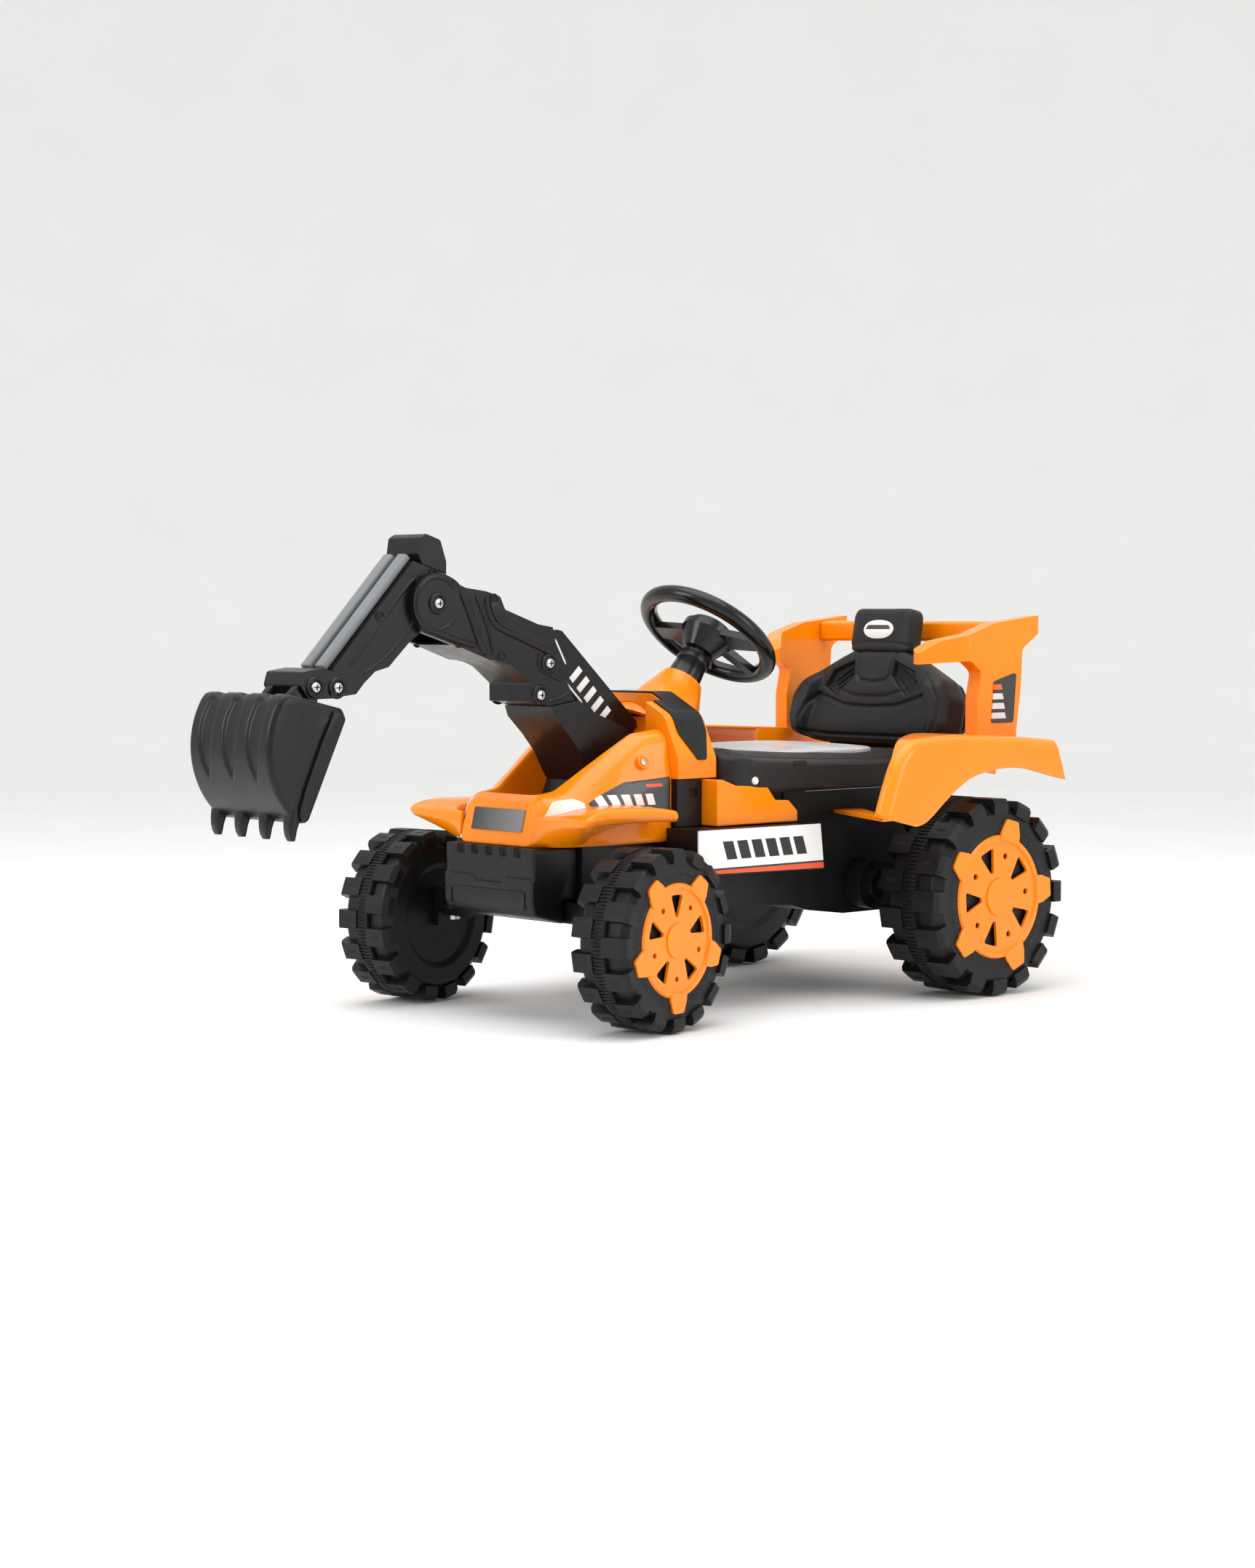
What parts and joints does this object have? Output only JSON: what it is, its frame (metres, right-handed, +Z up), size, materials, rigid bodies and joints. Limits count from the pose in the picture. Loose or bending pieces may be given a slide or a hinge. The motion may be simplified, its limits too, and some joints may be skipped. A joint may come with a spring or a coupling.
{
  "type": "ride-on toy digger",
  "caption": "Child's ride-on digger: wheeled body with a seat, a steering wheel and a front digger arm that swings and scoops.",
  "frame": {"origin": "on the floor, under the middle of the toy's length and width", "axes": "+Z up, -Y to the front (the bucket's end), +X to the driver's left"},
  "size_m": [0.571, 1.206, 0.5937],
  "materials": {
    "orange_plastic": "glossy injection-moulded plastic",
    "black_plastic": "satin moulded plastic",
    "dark_plastic": "satin moulded plastic",
    "gloss_black": "glossy moulded plastic",
    "tyre_plastic": "blow-moulded plastic with a soft shine",
    "steel": "zinc-plated steel",
    "grey_plastic": "light grey moulded plastic",
    "plate": "dark printed label",
    "white_label": "white printed label",
    "lens": "translucent plastic lens",
    "battery_case": "moulded battery case",
    "seat_black": "leather-look covering over foam",
    "seat_grey": "light grey leather-look panel"
  },
  "bodies": {
    "chassis": {"chassis": "black_plastic", "battery": "battery_case", "drive_units": "black_plastic", "front_bumper": "black_plastic", "hood": "orange_plastic", "number_plate": "plate", "headlights": "lens", "mudguards_front": "orange_plastic", "cowl": "orange_plastic", "dash_band": "dark_plastic", "column_cover": "orange_plastic", "column_collar": "gloss_black", "body_shell": "orange_plastic", "flank_panels": "black_plastic", "side_plates": "white_label", "rear_deck": "orange_plastic", "mudguards_rear": "orange_plastic", "roll_bars": "orange_plastic", "roll_cross_bar": "orange_plastic", "roll_bar_plates": "plate", "seat_base": "seat_black", "seat_insert": "seat_grey", "backrest": "seat_black", "back_shell": "black_plastic", "headrest": "seat_black", "headrest_badge": "white_label", "front_axle_beam": "black_plastic", "kingpins": "steel", "rear_axle": "steel", "nuts_rear": "steel", "turntable": "black_plastic"},
    "digger_base": {"arm_post": "black_plastic", "boom_left": "black_plastic", "boom_right": "black_plastic", "boom_cover": "gloss_black", "boom_bolts": "steel"},
    "dipper": {"dipper_left": "black_plastic", "dipper_right": "black_plastic", "dipper_cap": "black_plastic", "dipper_rods": "grey_plastic"},
    "bracket": {"bucket_bracket": "black_plastic", "bracket_bolts": "steel"},
    "bucket": {"bucket": "black_plastic"},
    "steering": {"steering_shaft": "steel", "steering_wheel": "gloss_black", "steering_pad": "gloss_black"},
    "left_knuckle": {"knuckle_left": "black_plastic", "nut_front_left": "steel"},
    "right_knuckle": {"knuckle_right": "black_plastic", "nut_front_right": "steel"},
    "tie_rod": {"tie_rod": "steel"},
    "front_left_wheel": {"tyre_front_left": "tyre_plastic", "hub_cap_front_left": "orange_plastic"},
    "front_right_wheel": {"tyre_front_right": "tyre_plastic", "hub_cap_front_right": "orange_plastic"},
    "rear_left_wheel": {"tyre_rear_left": "tyre_plastic", "hub_cap_rear_left": "orange_plastic"},
    "rear_right_wheel": {"tyre_rear_right": "tyre_plastic", "hub_cap_rear_right": "orange_plastic"},
    "pedal": {"pedal": "black_plastic"}
  },
  "joints": [
    {"name": "arm_swing", "type": "hinge", "parent": "chassis", "child": "digger_base", "pos_m": [0, -0.084, 0.233], "axis": [0, 0, 1], "range_deg": [-10, 10]},
    {"name": "dipper_lift", "type": "hinge", "parent": "digger_base", "child": "dipper", "pos_m": [0, -0.33, 0.511], "axis": [1, 0, 0], "range_deg": [-35, 20]},
    {"name": "bracket_tilt", "type": "hinge", "parent": "dipper", "child": "bracket", "pos_m": [0, -0.475, 0.413], "axis": [1, 0, 0], "range_deg": [-12, 20]},
    {"name": "bucket_curl", "type": "hinge", "parent": "bracket", "child": "bucket", "pos_m": [0, -0.507, 0.414], "axis": [1, 0, 0], "range_deg": [-12, 30]},
    {"name": "steering_turn", "type": "hinge", "parent": "chassis", "child": "steering", "pos_m": [0, 0.158, 0.472], "axis": [0, 0.6157, 0.788], "range_deg": [-30, 10]},
    {"name": "left_kingpin", "type": "hinge", "parent": "chassis", "child": "left_knuckle", "pos_m": [0.151, -0.15, 0.11], "axis": [0, 0, 1], "range_deg": [-30, 10]},
    {"name": "right_kingpin", "type": "hinge", "parent": "chassis", "child": "right_knuckle", "pos_m": [-0.151, -0.15, 0.11], "axis": [0, 0, 1], "range_deg": [-30, 10]},
    {"name": "tie_rod_pin", "type": "hinge", "parent": "left_knuckle", "child": "tie_rod", "pos_m": [0.14319, -0.10568, 0.12], "axis": [0, 0, 1], "range_deg": [-10, 30]},
    {"name": "front_left_spin", "type": "hinge", "parent": "left_knuckle", "child": "front_left_wheel", "pos_m": [0.21206, -0.13923, 0.11], "axis": [0.9848, 0.1736, 0], "continuous": true},
    {"name": "front_right_spin", "type": "hinge", "parent": "right_knuckle", "child": "front_right_wheel", "pos_m": [-0.21206, -0.16077, 0.11], "axis": [0.9848, 0.1736, 0], "continuous": true},
    {"name": "rear_left_spin", "type": "hinge", "parent": "chassis", "child": "rear_left_wheel", "pos_m": [0.2325, 0.418, 0.129], "axis": [1, 0, 0], "continuous": true},
    {"name": "rear_right_spin", "type": "hinge", "parent": "chassis", "child": "rear_right_wheel", "pos_m": [-0.2325, 0.418, 0.129], "axis": [1, 0, 0], "continuous": true},
    {"name": "pedal_press", "type": "hinge", "parent": "chassis", "child": "pedal", "pos_m": [-0.145, 0.027, 0.236], "axis": [1, 0, 0], "range_deg": [0, 5], "stiffness_Nm_per_rad": 0.2, "springref_deg": -17.19}
  ],
  "couplings": [
    {"joint": "left_kingpin", "follows": "steering_turn", "ratio": 1},
    {"joint": "right_kingpin", "follows": "steering_turn", "ratio": 1},
    {"joint": "tie_rod_pin", "follows": "steering_turn", "ratio": -1}
  ]
}
